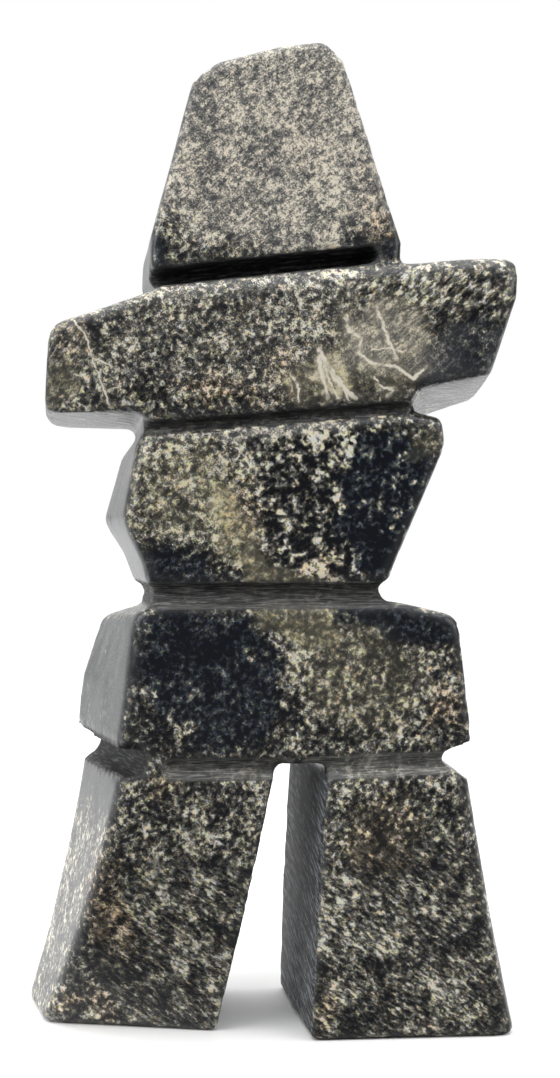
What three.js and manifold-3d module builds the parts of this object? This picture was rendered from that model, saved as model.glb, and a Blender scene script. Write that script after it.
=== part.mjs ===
// An inukshuk, the stone marker in the shape of a person, carved from one block of speckled stone.
// Millimetres, +Z up, the front looks along -Y. The origin is on the floor that the two soles stand on,
// under the middle of the figure's outer box.
//
// The figure looks like stacked stones: two legs, hips, torso, arms and head. It is one body, and filed
// grooves and a sawn notch draw the joints between the stones.

import * as THREE from "three";
import { mergeVertices } from "three/addons/utils/BufferGeometryUtils.js";
import Module from "manifold-3d";

const wasm = await Module();
wasm.setup();

// Height of each stone
const LEG_HIGH = 34.9;
const HIPS_HIGH = 20.4;
const TORSO_HIGH = 22.4;
const ARMS_HIGH = 18.6;
const HEAD_HIGH = 29.4;

// Width of each stone across the front; the legs' is their stance
const LEG_WIDE = 58.3;
const HIPS_WIDE = 44.0;
const TORSO_WIDE = 40.0;
const ARMS_WIDE = 58.6;
const HEAD_WIDE = 31.0;

// Depth of each stone from front to back
const LEG_DEEP = 26.0;
const HIPS_DEEP = 26.0;
const TORSO_DEEP = 24.8;
const ARMS_DEEP = 26.0;
const HEAD_DEEP = 24.0;

// How far the middle of each stone stands to the right of the plumb line
const LEG_SHIFT = -0.7;
const HIPS_SHIFT = 0.7;
const TORSO_SHIFT = -0.4;
const ARMS_SHIFT = -0.7;
const HEAD_SHIFT = -1.6;

// How much less deep the head is at its top than at its foot
const HEAD_LEAN = 3.0;

// Radii of the corners, from a crisp sawn one to a worn shoulder
const CRISP = 0.6;
const EASED = 1.4;
const SOFT = 2.6;
const WORN = 5.0;

// Wear of the sawn stones' front and back edges: how far they are rubbed in at the side, at the top and
// underneath, and how deep into the stone that runs
const HIPS_WEAR = { side: 0.9, top: 0.9, under: 0.3, into: 1.2 };
const TORSO_WEAR = { side: 0.8, top: 1.6, under: 0.4, into: 1.6 };
const ARMS_WEAR = { side: 0.8, top: 2.4, under: 0.5, into: 2.0 };
const HEAD_WEAR = { side: 0.8, top: 1.0, under: 0.3, into: 1.2 };

// Wear of a sole's edge, and how far a leg reaches up into the hips
const SOLE_WEAR = 0.8;
const LEG_TUCK = 1.5;

// Grooves: height on the face and depth into it. The side groove's line ends that far inside the
// hips' front corner.
const HIP_GROOVE = { high: 2.4, deep: 1.0 };
const SIDE_GROOVE = { high: 4.4, deep: 2.1, inside: 1.75 };
const WAIST_GROOVE = { high: 2.9, deep: 1.6 };
const CHIN_GROOVE = { high: 2.2, deep: 5.0 };

// How far the collar between torso and arms lies behind the torso's front and back
const COLLAR_INSET = 1.3;

// The notch in the right side: its mouth and its floor, each from the hips' underside down and up
const HIP_NOTCH = { mouthLow: 2.6, floorLow: 0.6, floorTop: 1.0, mouthTop: 1.9, deep: 3.0 };

// The facet that ends the left arm: where it leaves the front, as shares of the arms' width and height,
// and how far it turns to the left and underneath
const ARM_FACET = { across: -0.4, up: 0.333, left: 0.4, under: 0.19 };

// Flats that a round corner, a worn edge, a stone's depth, a leg's height and sides, and a file and
// its tip are cut into
const CORNER_STEPS = 4;
const EDGE_STEPS = 4;
const DEPTH_STEPS = 4;
const LEG_STEPS = 9;
const LEG_FLATS = 5;
const FILE_STEPS = 14;
const TIP_STEPS = 3;

// Share of a leg's height at which its bow is measured, between foot and top
const KNEE = 0.45;

// Room that a cutting block or bar needs past the stone that it cuts
const CLEAR = 4;

// Points closer than this are one point, and the most of a side that a rounded corner may take up
const WELD = 1e-5;
const CORNER_SHARE = 0.45;

// A stone: the middle of its width, the height that it stands on, and its outer sizes
function stone(shift, floor, wide, high, deep) {
  return { shift, floor, wide, high, deep };
}

const LEGS = stone(LEG_SHIFT, 0, LEG_WIDE, LEG_HIGH, LEG_DEEP);
const HIPS = stone(HIPS_SHIFT, LEGS.floor + LEGS.high, HIPS_WIDE, HIPS_HIGH, HIPS_DEEP);
const TORSO = stone(TORSO_SHIFT, HIPS.floor + HIPS.high, TORSO_WIDE, TORSO_HIGH, TORSO_DEEP);
const ARMS = stone(ARMS_SHIFT, TORSO.floor + TORSO.high, ARMS_WIDE, ARMS_HIGH, ARMS_DEEP);
const HEAD = stone(HEAD_SHIFT, ARMS.floor + ARMS.high, HEAD_WIDE, HEAD_HIGH, HEAD_DEEP);

const FRONT = -1;
const BACK = 1;

const V2 = (x, y) => new THREE.Vector2(x, y);
const V3 = (x, y, z) => new THREE.Vector3(x, y, z);

// A closed surface as a solid for joining and cutting.
function solidOf(geometry) {
  const bare = geometry.clone();
  bare.deleteAttribute("normal");
  bare.deleteAttribute("uv");
  const merged = mergeVertices(bare, WELD);
  const corner = merged.index.array;
  const triangles = [];
  for (let i = 0; i < corner.length; i += 3) {
    const [a, b, c] = corner.slice(i, i + 3);
    if (a !== b && b !== c && c !== a) triangles.push(a, b, c);
  }
  return new wasm.Manifold(
    new wasm.Mesh({
      numProp: 3,
      vertProperties: merged.attributes.position.array,
      triVerts: new Uint32Array(triangles),
    }),
  );
}

// The body through a row of rings with as many points each, capped flat at both ends. The rings run
// counter-clockwise for someone who looks along the row from its first ring.
function loft(rings, flat) {
  const count = rings[0].length;
  const last = (rings.length - 1) * count;
  const index = [];
  for (let start = 0; start < last; start += count) {
    for (let i = 0; i < count; i++) {
      const j = (i + 1) % count;
      index.push(start + i, start + count + j, start + j);
      index.push(start + i, start + count + i, start + count + j);
    }
  }
  for (const [a, b, c] of THREE.ShapeUtils.triangulateShape(rings[0].map(flat), [])) {
    index.push(a, b, c);
  }
  for (const [a, b, c] of THREE.ShapeUtils.triangulateShape(rings.at(-1).map(flat), [])) {
    index.push(last + a, last + c, last + b);
  }
  const geometry = new THREE.BufferGeometry();
  const place = rings.flat().flatMap((p) => p.toArray());
  geometry.setAttribute("position", new THREE.Float32BufferAttribute(place, 3));
  geometry.setIndex(index);
  return solidOf(geometry);
}

// A closed outline through corners [x, y, radius], each one rounded between its two sides. Each
// straight side is cut into as many flats.
function rounded(corners, flats = 1) {
  const arcs = corners.map(([x, y, radius], i) => {
    const here = V2(x, y);
    const sides = [corners.at(i - 1), corners[(i + 1) % corners.length]];
    const [before, after] = sides.map(([a, b]) => V2(a, b).sub(here));
    const half = before.angleTo(after) / 2;
    const room = CORNER_SHARE * Math.min(before.length(), after.length());
    const run = Math.min(radius / Math.tan(half), room);
    const from = before.setLength(run).add(here);
    const to = after.setLength(run).add(here);
    return new THREE.QuadraticBezierCurve(from, here, to).getPoints(CORNER_STEPS);
  });
  return arcs.flatMap((arc, i) => {
    const next = arcs[(i + 1) % arcs.length][0];
    const shares = Array.from({ length: flats - 1 }, (_, k) => (k + 1) / flats);
    return [...arc, ...shares.map((share) => arc.at(-1).clone().lerp(next, share))];
  });
}

// A stone sawn through from front to back. Its corners are [across, up, radius], with across and up
// as shares of its width and height; the back outline has the front one's corners, each moved.
// The lean narrows the stone's depth towards its top.
function sawnStone({ shift, floor, wide, high, deep }, { front, back, wear, lean = 0 }) {
  const onFace = (shares) =>
    rounded(shares.map(([u, v, radius]) => [shift + u * wide, floor + v * high, radius]));
  const [near, far] = [onFace(front), onFace(back)];
  const middle = floor + high / 2;

  const ringAt = (depth, rub) =>
    near.map((p, i) => {
      const q = p.clone().lerp(far[i], depth / deep);
      const upright = q.y > middle ? wear.top : wear.under;
      const x = shift + (q.x - shift) * (1 - (rub * wear.side) / (wide / 2));
      const z = middle + (q.y - middle) * (1 - (rub * upright) / (high / 2));
      const narrower = 1 - (lean * (z - floor)) / (high * deep);
      return V3(x, (depth - deep / 2) * narrower, z);
    });

  const turns = Array.from({ length: EDGE_STEPS + 1 }, (_, k) => ((k / EDGE_STEPS) * Math.PI) / 2);
  const frontEdge = turns.map((a) => ringAt(wear.into * (1 - Math.cos(a)), 1 - Math.sin(a)));
  const backEdge = turns.map((a) => ringAt(deep - wear.into * (1 - Math.cos(a)), 1 - Math.sin(a)));
  const inner = Array.from({ length: DEPTH_STEPS - 1 }, (_, k) => (k + 1) / DEPTH_STEPS);
  const flank = inner.map((share) => ringAt(wear.into + share * (deep - 2 * wear.into), 0));
  return loft([...frontEdge, ...flank, ...backEdge.reverse()], (p) => V2(p.x, p.z));
}

// The parabola through three values, at the foot, at the knee's share of the height and at the top.
function bowed(foot, knee, top, t) {
  const atFoot = ((t - KNEE) * (t - 1)) / KNEE;
  const atKnee = (t * (t - 1)) / (KNEE * (KNEE - 1));
  const atTop = (t * (t - KNEE)) / (1 - KNEE);
  return foot * atFoot + knee * atKnee + top * atTop;
}

// A leg, from its top inside the hips down to its sole. Each of its four upright edges bows through
// [across, toBack] at the foot, the knee and the top. They are shares of the stance and the legs' depth
// at foot and knee, and of the hips' width and depth at the top.
function leg(edges) {
  const { high } = LEGS;
  const on = ({ shift, wide, deep }, [u, v]) => [shift + u * wide, v * deep];
  const ringAt = (z, rub) => {
    const corners = edges.map(({ radius, path }) => {
      const [foot, knee, top] = [on(LEGS, path[0]), on(LEGS, path[1]), on(HIPS, path[2])];
      const [x, y] = [0, 1].map((k) => bowed(foot[k], knee[k], top[k], z / high));
      return [x, y, radius];
    });
    const middle = corners.reduce((sum, [x, y]) => sum.add(V2(x, y)), V2(0, 0));
    middle.divideScalar(corners.length);
    return rounded(corners, LEG_FLATS).map((p) => {
      const q = p.clone().add(middle.clone().sub(p).setLength(rub));
      return V3(q.x, q.y, z);
    });
  };
  const heights = Array.from({ length: LEG_STEPS }, (_, k) => high * (1 - k / LEG_STEPS));
  const rings = [high + LEG_TUCK, ...heights, SOLE_WEAR].map((z) => ringAt(z, 0));
  const halfway = SOLE_WEAR * (1 - Math.SQRT1_2);
  return loft([...rings, ringAt(halfway, halfway), ringAt(0, SOLE_WEAR)], (p) => V2(p.x, p.y));
}

function leftLeg() {
  return leg([
    { radius: SOFT, path: [[-0.52, -0.09], [-0.423, -0.36], [-0.482, -0.5]] },
    { radius: CRISP, path: [[-0.138, -0.32], [-0.08, -0.445], [-0.048, -0.5]] },
    { radius: CRISP, path: [[-0.15, 0.5], [-0.09, 0.5], [-0.064, 0.5]] },
    { radius: SOFT, path: [[-0.572, 0.5], [-0.5, 0.5], [-0.611, 0.5]] },
  ]);
}

function rightLeg() {
  return leg([
    { radius: CRISP, path: [[0.06, -0.53], [0.074, -0.53], [0.099, -0.5]] },
    { radius: SOFT, path: [[0.508, -0.53], [0.455, -0.53], [0.498, -0.5]] },
    { radius: EASED, path: [[0.515, 0.47], [0.455, 0.48], [0.508, 0.5]] },
    { radius: CRISP, path: [[0.03, 0.5], [0.038, 0.5], [0.045, 0.5]] },
  ]);
}

function hips() {
  return sawnStone(HIPS, {
    wear: HIPS_WEAR,
    front: [
      [-0.5, -0.02, CRISP],
      [0.512, -0.02, CRISP],
      [0.515, 0.15, WORN],
      [0.475, 0.89, SOFT],
      [0.3, 0.973, WORN],
      [-0.36, 0.965, WORN],
      [-0.452, 0.93, SOFT],
      [-0.475, 0.45, WORN],
    ],
    back: [
      [-0.645, -0.02, CRISP],
      [0.515, -0.02, CRISP],
      [0.525, 0.15, WORN],
      [0.485, 0.85, SOFT],
      [0.3, 0.945, WORN],
      [-0.42, 0.93, WORN],
      [-0.555, 0.84, SOFT],
      [-0.615, 0.45, WORN],
    ],
  });
}

function torso() {
  return sawnStone(TORSO, {
    wear: TORSO_WEAR,
    front: [
      [-0.41, -0.06, CRISP],
      [0.305, -0.06, CRISP],
      [0.345, 0.17, SOFT],
      [0.512, 0.86, SOFT],
      [0.505, 1.02, EASED],
      [0.4, 1.055, EASED],
      [-0.435, 0.925, EASED],
      [-0.46, 0.85, SOFT],
      [-0.505, 0.45, SOFT],
      [-0.488, 0.36, SOFT],
      [-0.445, 0.2, SOFT],
    ],
    back: [
      [-0.44, -0.06, CRISP],
      [0.33, -0.06, CRISP],
      [0.365, 0.19, SOFT],
      [0.52, 0.86, SOFT],
      [0.515, 1.0, EASED],
      [0.43, 1.045, EASED],
      [-0.47, 0.93, EASED],
      [-0.513, 0.82, SOFT],
      [-0.575, 0.45, EASED],
      [-0.56, 0.39, EASED],
      [-0.508, 0.25, SOFT],
    ],
  });
}

// The collar that joins torso and arms behind the groove between them.
function collar() {
  const block = { ...TORSO, deep: TORSO.deep - 2 * COLLAR_INSET };
  return sawnStone(block, {
    wear: { side: 0, top: 0, under: 0, into: COLLAR_INSET },
    front: [
      [-0.435, 0.85, CRISP],
      [0.41, 0.85, CRISP],
      [0.41, 1.2, CRISP],
      [-0.445, 1.2, CRISP],
    ],
    back: [
      [-0.465, 0.85, CRISP],
      [0.43, 0.85, CRISP],
      [0.43, 1.2, CRISP],
      [-0.465, 1.2, CRISP],
    ],
  });
}

function arms() {
  const slab = sawnStone(ARMS, {
    wear: ARMS_WEAR,
    front: [
      [-0.505, 0.05, EASED],
      [-0.3, 0.04, CRISP],
      [-0.29, -0.03, CRISP],
      [0.28, 0.125, CRISP],
      [0.295, 0.215, CRISP],
      [0.45, 0.31, EASED],
      [0.51, 0.86, EASED],
      [0.515, 1.12, SOFT],
      [0.42, 1.115, WORN],
      [0.25, 1.07, WORN],
      [-0.28, 0.865, WORN],
      [-0.495, 0.625, SOFT],
    ],
    back: [
      [-0.527, 0.02, SOFT],
      [-0.325, 0.005, CRISP],
      [-0.31, -0.045, CRISP],
      [0.37, 0.085, CRISP],
      [0.39, 0.13, CRISP],
      [0.505, 0.25, SOFT],
      [0.55, 0.8, EASED],
      [0.545, 1.09, SOFT],
      [0.42, 1.085, WORN],
      [0.25, 1.04, WORN],
      [-0.28, 0.85, WORN],
      [-0.51, 0.6, SOFT],
    ],
  });
  const start = spot(ARMS, FRONT, ARM_FACET.across, ARM_FACET.up);
  return shaved(slab, start, V3(-ARM_FACET.left, FRONT, -ARM_FACET.under), ARMS.wide);
}

function head() {
  return sawnStone(HEAD, {
    lean: HEAD_LEAN,
    wear: HEAD_WEAR,
    front: [
      [-0.455, -0.09, CRISP],
      [0.48, -0.09, CRISP],
      [0.525, 0.12, EASED],
      [0.285, 0.93, EASED],
      [0.205, 1.01, EASED],
      [0.0, 0.978, WORN],
      [-0.235, 0.904, SOFT],
      [-0.328, 0.828, EASED],
      [-0.5, 0.15, WORN],
      [-0.503, -0.02, EASED],
    ],
    back: [
      [-0.48, -0.09, CRISP],
      [0.49, -0.09, CRISP],
      [0.53, 0.11, EASED],
      [0.29, 0.9, EASED],
      [0.21, 0.975, EASED],
      [0.0, 0.94, WORN],
      [-0.225, 0.87, WORN],
      [-0.34, 0.79, SOFT],
      [-0.53, 0.12, WORN],
      [-0.533, -0.02, EASED],
    ],
  });
}

// A body with everything in front of a plane taken off. The plane goes through a point and looks
// along the way out.
function shaved(body, through, wayOut, size) {
  const block = new THREE.BoxGeometry(size, size, size);
  block.translate(0, 0, size / 2);
  block.lookAt(wayOut);
  block.translate(...through.toArray());
  return body.subtract(solidOf(block));
}

// A point on a stone's front or back, from shares of its width and height.
function spot({ shift, floor, wide, high, deep }, side, u, v) {
  return V3(shift + u * wide, (side * deep) / 2, floor + v * high);
}

// The bar that a round file takes out along the line between two points of a face. It is as high as
// the groove, twice as thick as the groove is deep, and round at both ends.
function fileStroke(from, to, wayOut, { high, deep }) {
  const along = to.clone().sub(from);
  const half = high / 2;
  const bar = new THREE.CapsuleGeometry(1, along.length() / half, TIP_STEPS, FILE_STEPS);
  bar.scale(deep, half, half);
  along.normalize();
  const up = wayOut.clone().cross(along).normalize();
  const square = along.clone().cross(up);
  const middle = from.clone().lerp(to, 0.5);
  bar.applyMatrix4(new THREE.Matrix4().makeBasis(square, along, up).setPosition(middle));
  return solidOf(bar);
}

// The grooves on the front, repeated on the back.
function faceGrooves(side) {
  const wayOut = V3(0, side, 0);
  const stroke = (block, [u1, v1], [u2, v2], groove) =>
    fileStroke(spot(block, side, u1, v1), spot(block, side, u2, v2), wayOut, groove);
  return [
    stroke(HIPS, [-0.35, -0.043], [-0.032, -0.043], HIP_GROOVE),
    stroke(HIPS, [0.048, -0.043], [0.425, -0.026], HIP_GROOVE),
    stroke(TORSO, [-0.45, 0.02], [0.32, 0.02], WAIST_GROOVE),
    stroke(HEAD, [-0.56, -0.04], [0.39, 0.078], CHIN_GROOVE),
  ];
}

// The grooves round the left side, from behind the back face to the front corner, and the waist's
// on the right side.
function sideGrooves() {
  const left = V3(-1, 0, 0);
  const right = V3(1, 0, 0);
  const past = V3(0, CLEAR, 0);
  return [
    fileStroke(
      spot(HIPS, BACK, -0.632, 0.015).add(past),
      spot(HIPS, FRONT, -0.5, 0.01).add(V3(SIDE_GROOVE.inside, HIP_GROOVE.deep, 0)),
      left,
      SIDE_GROOVE,
    ),
    fileStroke(
      spot(TORSO, BACK, -0.482, 0.01).add(past),
      spot(TORSO, FRONT, -0.445, 0.02),
      left,
      WAIST_GROOVE,
    ),
    fileStroke(
      spot(TORSO, BACK, 0.365, 0.03).add(past),
      spot(TORSO, FRONT, 0.34, 0.045),
      right,
      WAIST_GROOVE,
    ),
  ];
}

// The notch sawn into the right side between hips and leg: two slanting cuts and a flat floor.
function hipNotch() {
  const { mouthLow, floorLow, floorTop, mouthTop, deep } = HIP_NOTCH;
  const outer = HIPS.shift + HIPS.wide / 2;
  const outline = new THREE.Shape([
    V2(outer - deep, -floorLow),
    V2(outer, -mouthLow),
    V2(outer + CLEAR, -mouthLow),
    V2(outer + CLEAR, mouthTop),
    V2(outer, mouthTop),
    V2(outer - deep, floorTop),
  ]);
  const length = HIPS.deep + 2 * CLEAR;
  const cut = new THREE.ExtrudeGeometry(outline, { depth: length, bevelEnabled: false });
  cut.rotateX(Math.PI / 2);
  cut.translate(0, length / 2, HIPS.floor);
  return solidOf(cut);
}

// The stones joined, the joints cut in, and the body set over the middle of its own box.
function carving() {
  const stones = [leftLeg(), rightLeg(), hips(), torso(), collar(), arms(), head()];
  const cuts = [...faceGrooves(FRONT), ...faceGrooves(BACK), ...sideGrooves(), hipNotch()];
  const block = stones.reduce((body, next) => body.add(next));
  const mesh = cuts.reduce((body, cut) => body.subtract(cut), block).getMesh();
  const geometry = new THREE.BufferGeometry();
  geometry.setAttribute("position", new THREE.Float32BufferAttribute(mesh.vertProperties, 3));
  geometry.setIndex(new THREE.Uint32BufferAttribute(mesh.triVerts, 1));
  geometry.computeBoundingBox();
  const middle = geometry.boundingBox.getCenter(V3());
  geometry.translate(-middle.x, -middle.y, 0);
  geometry.computeVertexNormals();
  return geometry;
}

const speckledStone = new THREE.MeshStandardMaterial({ color: 0x2b2f30, roughness: 0.4, metalness: 0 });

const figure = new THREE.Group();
const inukshuk = new THREE.Mesh(carving(), speckledStone);
inukshuk.name = "inukshuk_carving";
figure.add(inukshuk);

export default figure;
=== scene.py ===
"""An inukshuk carved from one block of speckled serpentine and polished by hand, on a pale floor.

The model is in metres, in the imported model's frame: +Z up, the front looks along -Y. The stone's marks
are set out in millimetres on that same frame.
"""

import math

import bmesh
import bpy
import numpy as np
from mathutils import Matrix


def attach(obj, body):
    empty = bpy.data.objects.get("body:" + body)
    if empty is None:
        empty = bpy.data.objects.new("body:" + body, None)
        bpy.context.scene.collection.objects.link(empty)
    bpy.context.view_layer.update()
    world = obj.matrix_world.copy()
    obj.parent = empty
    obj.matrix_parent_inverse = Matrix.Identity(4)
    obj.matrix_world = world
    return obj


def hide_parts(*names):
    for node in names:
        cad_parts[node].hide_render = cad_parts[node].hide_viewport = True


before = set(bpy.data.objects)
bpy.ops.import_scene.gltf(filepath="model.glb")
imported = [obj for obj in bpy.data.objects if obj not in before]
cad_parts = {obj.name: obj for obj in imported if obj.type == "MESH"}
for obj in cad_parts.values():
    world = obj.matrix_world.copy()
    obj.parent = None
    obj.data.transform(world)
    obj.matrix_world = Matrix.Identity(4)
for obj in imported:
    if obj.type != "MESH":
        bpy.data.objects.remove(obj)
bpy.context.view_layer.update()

MM = 0.001
CARVING = "inukshuk_carving"

# Size of the even cells that the carved surface is remeshed into, and how near two corners are one, in
# millimetres
CELL = 0.51
SAME_CORNER = 0.002

# The strokes of the round file: from, to, way out of the stone, half height and depth in millimetres,
# and how pale the stone's dust leaves them. Where little dust lies, a groove is painted near black along
# the file's lines: painted shade. The narrow joint between torso and arms is one of them.
STROKES = [
    ((-13.7, -12.55, 34.0), (0.3, -12.55, 34.0), (0, -1, 0), 1.2, 1.0, 0.45),
    ((3.8, -12.55, 34.0), (20.4, -12.55, 34.4), (0, -1, 0), 1.2, 1.0, 1.0),
    ((-17.4, -11.95, 55.7), (13.4, -11.95, 55.7), (0, -1, 0), 1.45, 1.6, 0.25),
    ((-16.8, -10.9, 76.6), (15.6, -10.9, 79.4), (0, -1, 0), 0.85, 1.3, 0.15),
    ((-17.9, -11.55, 95.1), (11.5, -11.55, 98.6), (0, -1, 0), 1.1, 5.0, 0.0),
    ((-13.7, 13.45, 34.0), (0.3, 13.45, 34.0), (0, 1, 0), 1.2, 1.0, 0.5),
    ((3.8, 13.45, 34.0), (20.4, 13.45, 34.4), (0, 1, 0), 1.2, 1.0, 0.5),
    ((-17.4, 12.85, 55.7), (13.4, 12.85, 55.7), (0, 1, 0), 1.45, 1.6, 0.3),
    ((-17.6, 11.8, 76.6), (16.4, 11.8, 79.4), (0, 1, 0), 0.85, 1.3, 0.15),
    ((-17.9, 12.45, 95.1), (11.5, 12.45, 98.6), (0, 1, 0), 1.1, 5.0, 0.0),
    ((-26.1, 17.45, 35.2), (-18.5, -11.55, 35.1), (-1, 0, 0), 2.2, 2.1, 0.0),
    ((-18.7, 16.85, 55.5), (-17.2, -11.95, 55.7), (-1, 0, 0), 1.45, 1.6, 0.25),
    ((15.2, 16.85, 56.0), (14.2, -11.95, 56.3), (1, 0, 0), 1.45, 1.6, 0.3),
]

# Where a stroke's marks start and where they are full, in shares of its own depth and half height
STROKE_EDGE = (1.2, 1.06)

# Directions that lie askew to the stone's faces, so that no grain lines up with them
ASKEW = np.array([[0.768, -0.424, 0.48], [0.64, 0.509, -0.576], [0.0, 0.75, 0.6614]])

# Numbers along each side of the cube that the noise is drawn from
CUBE = 64


def noise(points, size, seed):
    """Smooth random values from -1 to 1 that change over one size. A cube of random numbers stands one
    size apart and repeats, and a point blends its eight neighbours by 3t² - 2t³ along each axis."""
    table = np.random.default_rng(seed).uniform(-1, 1, (CUBE, CUBE, CUBE))
    scaled = points @ ASKEW.T / size
    cell = np.floor(scaled).astype(int)
    t = scaled - cell
    t = t * t * (3 - 2 * t)
    total = np.zeros(len(points))
    for corner in np.ndindex(2, 2, 2):
        x, y, z = ((cell + corner) % CUBE).T
        share = np.where(np.array(corner) == 1, t, 1 - t).prod(1)
        total += share * table[x, y, z]
    return total


def step(value, low, high):
    """0 below low, 1 above high, and 3t² - 2t³ between them; high may be the smaller one."""
    t = np.clip((value - low) / (high - low), 0, 1)
    return t * t * (3 - 2 * t)


# How far inside and outside an ellipsoid's surface its edge is soft, in shares of its radii
SOFT = 0.3


def blob(points, centre, radii, lift=0.0):
    """1 inside an ellipsoid and 0 outside it, softly, by the distance from its middle in radii. Seen
    from the front, the lift turns it by as many degrees, up on the right."""
    x, y, z = (points - centre).T
    cos, sin = math.cos(math.radians(lift)), math.sin(math.radians(lift))
    turned_back = np.stack([cos * x + sin * z, y, cos * z - sin * x], axis=1)
    reach = np.linalg.norm(turned_back / np.array(radii), axis=1)
    return step(reach, 1 + SOFT, 1 - SOFT)


def stroke_share(points, stroke):
    """How much a point lies in a file's stroke, and how far round its section it lies, as an angle times
    the half height. The distance from the stroke's line is counted in its depth along the way out and in
    its half height across."""
    start, end, out, half, deep = (np.array(value, float) for value in stroke[:5])
    along = end - start
    length = np.linalg.norm(along)
    along = along / length
    up = np.cross(out, along)
    run = np.clip((points - start) @ along, 0, length)
    off = points - start - run[:, None] * along
    reach = np.hypot((off @ out) / deep, np.hypot(off @ up, off @ along) / half)
    round_it = half * np.arctan2((off @ up) / half, -(off @ out) / deep)
    return step(reach, *STROKE_EDGE), round_it


# A bar of stone that stays in the roof of the left side's groove, so that its lip is no thin hook. Its
# two ends, each with the depth, where it starts and ends across, and how high it starts; and its top
ROOF_ENDS = ((-10.8, -20.45, -17.2, 36.3), (12.9, -26.05, -23.0, 37.0))
ROOF_TOP = 38.2


def carved_body():
    """The CAD solid's copy, with its doubles merged, the bar set in the groove's roof and the surface of
    both remeshed into even cells."""
    shape = bmesh.new()
    shape.from_mesh(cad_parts[CARVING].data)
    bmesh.ops.remove_doubles(shape, verts=shape.verts, dist=SAME_CORNER * MM)
    bar = []
    for y, outer, inner, low in ROOF_ENDS:
        for x, z in ((outer, low), (inner, low), (inner, ROOF_TOP), (outer, ROOF_TOP)):
            bar.append(shape.verts.new((x * MM, y * MM, z * MM)))
    shape.faces.new(bar[:4])
    shape.faces.new(bar[:3:-1])
    for k in range(4):
        after = (k + 1) % 4
        shape.faces.new((bar[k], bar[k + 4], bar[after + 4], bar[after]))
    rough = bpy.data.meshes.new("rough")
    shape.to_mesh(rough)
    shape.free()
    body = bpy.data.objects.new("rough", rough)
    bpy.context.scene.collection.objects.link(body)
    remesh = body.modifiers.new("even cells", "REMESH")
    remesh.mode = "VOXEL"
    remesh.voxel_size = CELL * MM
    even = body.evaluated_get(bpy.context.evaluated_depsgraph_get())
    mesh = bpy.data.meshes.new_from_object(even)
    bpy.data.objects.remove(body)
    bpy.data.meshes.remove(rough)
    return mesh


def points_of(mesh):
    """A mesh's points as rows of x, y, z, in millimetres."""
    flat = np.empty(len(mesh.vertices) * 3, np.float32)
    mesh.vertices.foreach_get("co", flat)
    return flat.reshape(-1, 3).astype(float) / MM


def normals_of(mesh):
    """The directions that a mesh's points look in, one row each."""
    flat = np.empty(len(mesh.vertices) * 3, np.float32)
    mesh.vertex_normals.foreach_get("vector", flat)
    return flat.reshape(-1, 3).astype(float)


def set_points(mesh, points):
    """Puts rows of x, y, z in millimetres into a mesh."""
    mesh.vertices.foreach_set("co", (points * MM).astype(np.float32).ravel())
    mesh.update()


def edges_of(mesh):
    """The two ends of each edge, one row each."""
    flat = np.empty(len(mesh.edges) * 2, np.int32)
    mesh.edges.foreach_get("vertices", flat)
    return flat.reshape(-1, 2)


def averaged(values, edges, times):
    """Values blended with the mean of their neighbours' along the edges, half and half, several times."""
    count = np.bincount(edges.ravel(), minlength=len(values)).astype(float)
    a, b = edges.T
    for _ in range(times):
        total = np.zeros_like(values)
        for column in range(values.shape[1]):
            near = np.bincount(a, values[b, column], len(values))
            total[:, column] = near + np.bincount(b, values[a, column], len(values))
        values = 0.5 * values + 0.5 * total / count[:, None]
    return values


# Chips broken out of the edges: middle, radius and depth, in millimetres
CHIPS = [
    ((-17.77, -12.0, 57.4), 1.3, 0.55),
    ((-18.37, -9.0, 57.2), 1.0, 0.5),
    ((-16.57, -12.1, 57.0), 0.9, 0.35),
    ((-19.07, -2.0, 57.3), 1.1, 0.4),
    ((-21.07, -12.3, 54.4), 0.8, 0.2),
    ((15.43, -12.0, 57.4), 0.9, 0.3),
    ((22.73, -12.3, 37.9), 0.8, 0.25),
    ((21.03, -12.4, 31.6), 0.9, 0.3),
    ((-30.57, -10.2, 80.4), 0.9, 0.25),
    ((8.03, -10.2, 125.2), 1.0, 0.25),
    ((13.73, -11.4, 101.0), 0.8, 0.25),
    ((-1.67, -12.6, 36.4), 0.8, 0.2),
    ((29.93, -13.4, 1.0), 0.9, 0.25),
    ((-8.57, -8.0, 1.2), 0.8, 0.25),
]

# Pits in the smooth faces: middle, radius and depth, in millimetres
PITS = [
    ((-21.77, -9.0, 78.4), 0.5, 0.22),
    ((-22.17, -10.4, 78.4), 0.35, 0.15),
    ((-24.07, 2.0, 47.0), 0.4, 0.12),
    ((-24.27, 4.0, 48.5), 0.3, 0.1),
    ((-24.77, 6.5, 46.2), 0.35, 0.1),
]

# The marks of the hand finish, each its height or depth and its length over the stone, in millimetres
SLOW_WAVES = (0.07, 8.0)
SHORT_WAVES = (0.03, 3.1)
NICKS = (0.16, 1.1)
FILE_LINES = (0.03, 1.7)

# How far the surface bends over its near neighbours where an arris starts and where it is full
ARRIS_BEND = (0.02, 0.08)

# Rounds of averaging that the bend is measured against, and that even out the arrises
BEND_OVER, ARRIS_EVENED = 6, 3

# The values of their noise between which the nicks set in
NICKED = (0.1, 0.7)

# How far the file's lines wander, as an angle of their wave, over what length in millimetres, and the
# shares of x, y and z that count in it, so that they wander slowly along a groove
LINE_WANDER, WANDER_LENGTH = 2.2, 1.2
WANDER_SHARES = (0.2, 0.2, 1.0)

# Share of the waves that the file takes away, and the heights over the soles where the relief sets in
FILED_AWAY = 0.7
SOLE_HEIGHTS = (0.6, 2.0)

# Outline of a chip or pit: its mean reach and how far it wanders, in shares of the radius, over what
# length in millimetres, and the share of the radius inside which it has its full depth
RAGGED, RAGGED_BY, RAGGED_LENGTH = 0.75, 0.5, 0.7
BOWL_FLOOR = 0.25


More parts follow.
